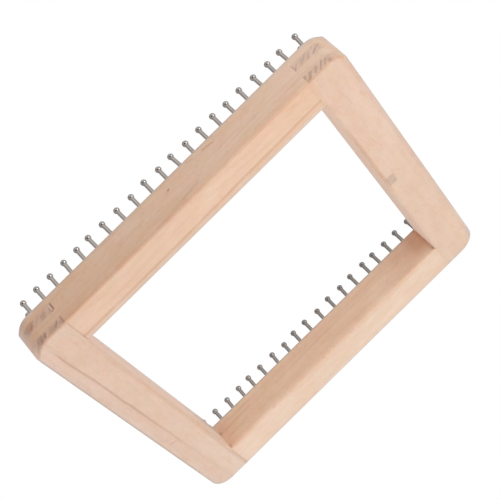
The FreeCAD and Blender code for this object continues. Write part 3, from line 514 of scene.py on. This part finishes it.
def back_marks(t, colour, x, y, z, nx, ny, nz, us):
    under = t.ramp(nz, -0.97, -0.80, 1.0, 0.0)
    inner = t.ramp(ny, -0.97, -0.80, 1.0, 0.0)
    # reddish towards both ends of the window face, with painted shade in its corners beside the side rails; brown
    # streaks on the left
    colour = t.tint(colour, t.mul(inner, t.ramp(x, 40.0, 78.0)), (0.90, 0.82, 0.79))
    colour = t.tint(colour, t.mul(inner, t.ramp(x, -84.0, -74.0, 1.0, 0.0)), (0.97, 0.91, 0.90))
    colour = t.tint(colour, t.mul(inner, t.ramp(x, 83.0, 85.2)), (0.90, 0.85, 0.81))
    colour = t.tint(colour, t.mul(inner, t.blob(x, z, (85.5, 1.8), 1.0, 1.9)), (0.76, 0.72, 0.70))
    colour = t.tint(colour, t.mul(inner, t.blob(x, z, (-85.3, 2.2), 1.3, 2.2)), (0.80, 0.76, 0.74))
    xf, zf = wobble(t, x, z, 0.6, 0.12, 13.0)
    # painted shade towards the right corner
    shade = t.mul(t.ramp(xf, 72.0, 80.0), t.ramp(zf, 5.0, 12.0))
    colour = t.tint(colour, t.mul(inner, shade), (0.89, 0.83, 0.77))
    pale = t.mul(t.ramp(xf, 66.0, 76.0), t.ramp(zf, 3.0, 7.5, 1.0, 0.0))
    colour = t.tint(colour, t.mul(inner, pale), (1.0, 1.08, 1.08))
    colour = t.tint(colour, t.mul(inner, t.blob(xf, zf, (-85.3, 13.3), 2.0, 2.2)), (0.80, 0.77, 0.75))
    colour = t.tint(colour, t.mul(inner, t.ramp(xf, -84.5, -82.5, 1.0, 0.0)), (0.99, 1.06, 1.09))
    colour = t.tint(colour, t.mul(inner, t.inside(z, 13.0, 18.5, 1.5)), (0.985, 0.965, 0.95))
    brown = t.most([
        (t.stroke(xf, zf, (-84.0, 13.0), (-60.0, 14.0), 0.3, 0.9), 0.5),
        (t.stroke(xf, zf, (-82.0, 8.0), (-66.0, 8.6), 0.4, 1.0), 0.5),
        (t.stroke(xf, zf, (-80.0, 17.5), (-58.0, 17.0), 0.2, 0.9), 0.35),
        (t.stroke(xf, zf, (-40.0, 12.0), (10.0, 13.0), 0.2, 0.9), 0.25),
        (t.stroke(xf, zf, (0.0, 6.0), (60.0, 5.0), 0.2, 0.9), 0.25)])
    colour = t.tint(colour, t.mul(inner, brown), (0.88, 0.82, 0.77))
    # painted light low on the window face, where its lower edge rounds over; the underside darker and yellower beside
    # the window
    colour = t.tint(colour, t.mul(inner, t.ramp(z, 1.6, 4.4, 1.0, 0.0)), (1.065, 1.09, 1.11))
    colour = t.tint(colour, t.mul(under, t.ramp(y, 86.5, 90.5, 1.0, 0.0)), (0.95, 0.915, 0.875))
    # the tone runs over gently into the side rails
    both = t.mx(t.ramp(x, 81.5, 86.0), t.ramp(x, -86.0, -81.0, 1.0, 0.0))
    colour = t.tint(colour, t.mul(under, both), (0.965, 0.955, 0.955))
    return colour


# Slow changes of tone along the rails, by face, measured at the low and the
# high end of each rail: partly the wood's own drift, partly painted light and shade.
FRONT_FACE_LIGHT = {"under": ((1.03, 1.044, 1.058), (1.023, 1.007, 0.95)), "outer": ((0.944, 0.896, 0.83), (1.135, 1.174, 1.192))}
BACK_FACE_LIGHT = {"under": ((1.117, 1.212, 1.272), (1.036, 1.111, 1.121)), "inner": ((1.028, 1.013, 0.954), (1.083, 1.09, 1.064))}
LEFT_FACE_LIGHT = {"under": ((0.982, 1.016, 1.052), (1.019, 1.096, 1.154)), "inner": ((0.945, 0.975, 1.02), (0.945, 0.975, 1.02))}
RIGHT_FACE_LIGHT = {"under": ((0.998, 1.029, 1.067), (0.985, 1.035, 1.067)), "inner": ((1.1, 1.185, 1.265), (0.967, 1.01, 1.075))}

# Painted shade and painted light on the rounded edges, and on the rim and the upper faces beside them. low: beside the
# underside, high: beside the pins;
# out, in and end: away from the window, towards it, and at the ends.
LOW_FRONT_SHADE, HIGH_ANY_SHADE = (0.925, 0.875, 0.835), (0.80, 0.835, 0.91)
FRONT_EDGE_SHADE = {"low_out": LOW_FRONT_SHADE, "low_in": (0.925, 1.005, 1.08), "low_end": (0.925, 0.97, 1.0),
               "high_out": (0.86, 0.885, 0.95), "high_in": HIGH_ANY_SHADE, "high_end": HIGH_ANY_SHADE,
               "rim_side": -1, "rim": (0.93, 1.015, 1.10), "top_from": 18.4, "top": (0.93, 0.985, 1.03), "top_out": (0.93, 0.985, 1.03)}
BACK_EDGE_SHADE = {"low_out": (0.875, 0.935, 1.0), "low_in": (1.01, 1.02, 1.02), "low_end": (0.90, 0.93, 0.97),
              "high_out": HIGH_ANY_SHADE, "high_in": (0.73, 0.78, 0.85), "high_end": HIGH_ANY_SHADE,
              "rim_side": 1, "rim": (0.935, 0.995, 1.07), "top_from": 18.4, "top": (0.95, 0.985, 1.01), "top_out": (0.97, 0.98, 0.99)}
LEFT_EDGE_SHADE = {"low_out": (0.95, 1.035, 1.11), "low_in": (0.86, 0.865, 0.85), "low_end": LOW_FRONT_SHADE,
              "high_out": HIGH_ANY_SHADE, "high_in": (0.74, 0.80, 0.88), "high_end": HIGH_ANY_SHADE,
              "rim_side": 1, "rim": (0.98, 1.02, 1.06), "top_from": 15.5, "top": (0.90, 0.985, 1.06), "top_out": (0.97, 0.98, 0.99)}
RIGHT_EDGE_SHADE = {"low_out": (0.775, 0.835, 0.905), "low_in": (1.18, 1.225, 1.28), "low_end": LOW_FRONT_SHADE,
               "high_out": HIGH_ANY_SHADE, "high_in": (0.80, 0.85, 0.92), "high_end": HIGH_ANY_SHADE,
               "rim_side": 1, "rim": (0.93, 0.94, 0.965), "top_from": 14.0, "top": (0.93, 0.99, 1.055), "top_out": (0.97, 0.98, 0.99)}

materials = {
    "front_rail": wood("wood_front", "x", -98.0, 62.0, 95.0, 1.0, FRONT_EDGE_SHADE, bands=0.9, lean=55.0, marks=front_marks,
                       face_light_tints=FRONT_FACE_LIGHT),
    "back_rail": wood("wood_back", "x", 98.0, 118.0, 120.0, 2.0, BACK_EDGE_SHADE, bands=0.6, lean=55.0, marks=back_marks,
                      face_light_tints=BACK_FACE_LIGHT),
    "left_rail": wood("wood_left", "y", -98.0, -45.0, 80.0, 3.0, LEFT_EDGE_SHADE, bands=0.5, lean=60.0, marks=left_marks,
                      face_light_tints=LEFT_FACE_LIGHT),
    "right_rail": wood("wood_right", "y", 98.0, -48.0, 85.0, 4.0, RIGHT_EDGE_SHADE, bands=0.3, lean=46.0, marks=right_marks,
                       face_light_tints=RIGHT_FACE_LIGHT),
}


# -------------------------------------------------------------------- steel
def steel(name, shaft, head, rough_lo, rough_hi, base_shade=0.0, fade=None, neck=0.0):
    """Drawn wire, warmer along the shaft and greyer at the head.
    grime: painted shade, how dark it gets where it leaves the wood. neck: how
    much darker the shaft is towards the head."""
    t = Tree(name)
    coords = t.new("ShaderNodeTexCoord")
    x, y, z = t.split(coords.outputs["Object"])
    x, y, z = t.mul(x, 1000.0), t.mul(y, 1000.0), t.mul(z, 1000.0)
    # faint streaks up the shaft, and small pits
    streak = t.noise(t.xyz(t.mul(x, 3.0), t.mul(y, 3.0), t.mul(z, 0.25)), 1.0, 3.0, 0.6)
    pit = t.noise(t.xyz(t.mul(x, 2.5), t.mul(y, 2.5), t.mul(z, 2.5)), 1.0, 2.0, 0.5)
    dull = t.noise(t.xyz(t.mul(x, 0.5), t.mul(y, 0.5), t.mul(z, 0.5)), 1.0, 1.0, 0.5)
    colour = t.between(t.ramp(z, HEIGHT + 12.6, HEIGHT + 15.2), shaft, head)
    colour = t.tint(colour, t.ramp(streak, 0.3, 0.7), (0.90, 0.90, 0.90))
    colour = t.tint(colour, t.ramp(pit, 0.60, 0.75, 0.0, 0.5), (0.72, 0.70, 0.68))
    # painted shade darkening the shaft where it leaves the wood
    if base_shade:
        colour = t.tint(colour, t.ramp(z, HEIGHT + 0.8, HEIGHT + 5.0, base_shade, 0.0), (0.10, 0.085, 0.07))
    if neck:
        colour = t.tint(colour, t.mul(t.ramp(z, HEIGHT + 4.0, HEIGHT + 11.5), t.ramp(z, HEIGHT + 13.2, HEIGHT + 14.8, neck, 0.0)), (0.5, 0.5, 0.5))
    # painted shade: the row darker towards its right end
    if fade:
        colour = t.mix(t.ramp(x, -HALF, HALF, 0.0, 1.0, "LINEAR"), colour, fade, "MULTIPLY")
    rough = t.ramp(t.mad(streak, 0.4, t.mul(dull, 0.6)), 0.3, 0.7, rough_lo, rough_hi)
    normal = t.bump(t.add(streak, t.mul(pit, 0.5)), 0.000004, 0.5)
    return t.finish(colour, rough, normal, Metallic=1.0)


STEEL = steel("pin_steel", (0.86, 0.77, 0.715), (0.76, 0.70, 0.665), 0.16, 0.24)
# back row: rougher, and painted darker at the head as a shaded copy of the steel
STEEL_BACK_SHADED = steel("pin_steel_dull_shaded", (0.86, 0.765, 0.71), (0.595, 0.58, 0.573), 0.30, 0.40, 0.0, (0.80, 0.80, 0.81, 1.0), 0.42)
# side rows: painted shade where the pins leave the wood
STEEL_SIDE = steel("pin_steel_side", (0.86, 0.77, 0.715), (0.76, 0.70, 0.665), 0.16, 0.24, 0.9)


def steel_for(name):
    return STEEL_BACK_SHADED if name.startswith("pins_back") else STEEL if name.startswith("pins_front") else STEEL_SIDE


for name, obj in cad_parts.items():
    obj.data.materials.clear()
    obj.data.materials.append(materials[name] if name in materials else steel_for(name))


# ------------------------------------------------------------------- camera
camera_data = bpy.data.cameras.new("camera")
camera_data.sensor_fit = "HORIZONTAL"
camera_data.sensor_width = 36.0
camera_data.lens = 113.441
camera_data.clip_start = 0.01
camera_data.clip_end = 50.0
camera = bpy.data.objects.new("camera", camera_data)
scene.collection.objects.link(camera)
right = Vector((0.7128567, 0.4205212, -0.5612461))
up = Vector((0.701308, -0.4256893, 0.5718004))
back = Vector((0.0015378, -0.8012182, -0.5983704))
turn = Matrix((right, up, back)).transposed()
camera.matrix_world = Matrix.Translation((0.007338, -0.721811, -0.505806)) @ turn.to_4x4()
scene.camera = camera

# ------------------------------------------------------------ light and room
world = bpy.data.worlds.new("studio")
scene.world = world
world.use_nodes = True
wt = world.node_tree
wt.nodes.clear()
out = wt.nodes.new("ShaderNodeOutputWorld")
seen = wt.nodes.new("ShaderNodeBackground")
seen.inputs["Color"].default_value = (1.0, 1.0, 1.0, 1.0)
seen.inputs["Strength"].default_value = 1.0
felt = wt.nodes.new("ShaderNodeBackground")
felt.inputs["Color"].default_value = (1.0, 0.97, 0.94, 1.0)
felt.inputs["Strength"].default_value = 0.60

# What the polished pins mirror: a pale tent that is dimmer on the left behind
# the frame, a small lamp on the right and the dark mouth of the tent.
mirrored = wt.nodes.new("ShaderNodeBackground")
mirrored.inputs["Strength"].default_value = 1.0


def toward(direction, inner, outer):
    """1 inside `inner` degrees of a direction, 0 beyond `outer`."""
    coord = wt.nodes.new("ShaderNodeTexCoord")
    dot = wt.nodes.new("ShaderNodeVectorMath")
    dot.operation = "DOT_PRODUCT"
    wt.links.new(coord.outputs["Generated"], dot.inputs[0])
    dot.inputs[1].default_value = Vector(direction).normalized()
    fade = wt.nodes.new("ShaderNodeMapRange")
    fade.interpolation_type = "SMOOTHSTEP"
    fade.inputs["From Min"].default_value = math.cos(math.radians(outer))
    fade.inputs["From Max"].default_value = math.cos(math.radians(inner))
    wt.links.new(dot.outputs["Value"], fade.inputs["Value"])
    return fade.outputs["Result"]


def over(fac, under, colour):
    node = wt.nodes.new("ShaderNodeMix")
    node.data_type = "RGBA"
    wt.links.new(fac, node.inputs[0])
    if isinstance(under, bpy.types.NodeSocket):
        wt.links.new(under, node.inputs[6])
    else:
        node.inputs[6].default_value = under
    node.inputs[7].default_value = colour
    return node.outputs[2]


tent = (0.50, 0.50, 0.50, 1.0)
tone = over(toward((-0.69, 0.10, 0.60), 35, 75), tent, (0.30, 0.30, 0.30, 1.0))
tone = over(toward((0.80, -0.20, 0.57), 12, 38), tone, (0.40, 0.40, 0.40, 1.0))
tone = over(toward((0.20, -0.77, 0.60), 6, 24), tone, (0.62, 0.62, 0.62, 1.0))
tone = over(toward((0.81, -0.51, -0.28), 7, 16), tone, (2.3, 2.3, 2.3, 1.0))
tone = over(toward((0.80, -0.42, -0.42), 8, 18), tone, (3.6, 3.6, 3.6, 1.0))
tone = over(toward((-0.15, -0.68, -0.71), 16, 34), tone, (0.030, 0.028, 0.026, 1.0))
tone = over(toward((-0.20, -0.78, -0.58), 21, 40), tone, (0.030, 0.028, 0.026, 1.0))
wt.links.new(tone, mirrored.inputs["Color"])

path = wt.nodes.new("ShaderNodeLightPath")
first = wt.nodes.new("ShaderNodeMixShader")
wt.links.new(path.outputs["Is Glossy Ray"], first.inputs[0])
wt.links.new(felt.outputs[0], first.inputs[1])
wt.links.new(mirrored.outputs[0], first.inputs[2])
pick = wt.nodes.new("ShaderNodeMixShader")
wt.links.new(path.outputs["Is Camera Ray"], pick.inputs[0])
wt.links.new(first.outputs[0], pick.inputs[1])
wt.links.new(seen.outputs[0], pick.inputs[2])
wt.links.new(pick.outputs[0], out.inputs[0])
world.cycles.sampling_method = "NONE"


def softbox(name, place, aim, size, power, colour=(1.0, 1.0, 1.0)):
    data = bpy.data.lights.new(name, "AREA")
    data.shape = "RECTANGLE"
    data.size, data.size_y = size
    data.energy = power
    data.color = colour
    lamp = bpy.data.objects.new(name, data)
    scene.collection.objects.link(lamp)
    lamp.location = place
    lamp.rotation_euler = (Vector(aim) - Vector(place)).to_track_quat("-Z", "Y").to_euler()
    return lamp


softbox("key_right", (1.2, -0.2, -0.9), (0, 0, 0.0), (1.0, 1.0), 12.5, (1.0, 0.985, 0.97))
softbox("key_left", (-1.2, -0.2, -0.9), (0, 0, 0.0), (1.0, 1.0), 3.0)
softbox("end_fill", (0.55, -0.75, 0.05), (0.05, -0.1, 0.01), (0.4, 0.4), 0.7)
softbox("top", (-0.5, 0.3, 1.4), (0, 0, 0.03), (1.2, 1.2), 14.0)
for lamp in [o for o in scene.objects if o.type == "LIGHT"]:
    lamp.visible_glossy = False

# floor: seen only from above, where the frame stands on it
bpy.ops.mesh.primitive_plane_add(size=8.0, location=(0, 0, -0.0004))
floor = bpy.context.object
floor.name = "floor"
ft = Tree("floor_paper")
grain = ft.noise(ft.new("ShaderNodeTexCoord").outputs["Object"], 60.0, 2.0, 0.5)
paper = ft.new("ShaderNodeBsdfDiffuse")
ft.put(paper.inputs["Color"], ft.mix(grain, (0.80, 0.80, 0.79, 1.0), (0.84, 0.84, 0.83, 1.0)))
geo = ft.new("ShaderNodeNewGeometry")
clear = ft.new("ShaderNodeBsdfTransparent")
both = ft.new("ShaderNodeMixShader")
ft.tree.links.new(geo.outputs["Backfacing"], both.inputs[0])
ft.tree.links.new(paper.outputs[0], both.inputs[1])
ft.tree.links.new(clear.outputs[0], both.inputs[2])
fo = ft.new("ShaderNodeOutputMaterial")
ft.tree.links.new(both.outputs[0], fo.inputs[0])
floor.data.materials.append(ft.mat)
floor.visible_diffuse = False
floor.visible_glossy = False
floor.visible_transmission = False
floor.visible_shadow = False

scene.view_settings.view_transform = "Standard"
scene.view_settings.look = "None"
scene.view_settings.exposure = 0.0
scene.view_settings.gamma = 1.0
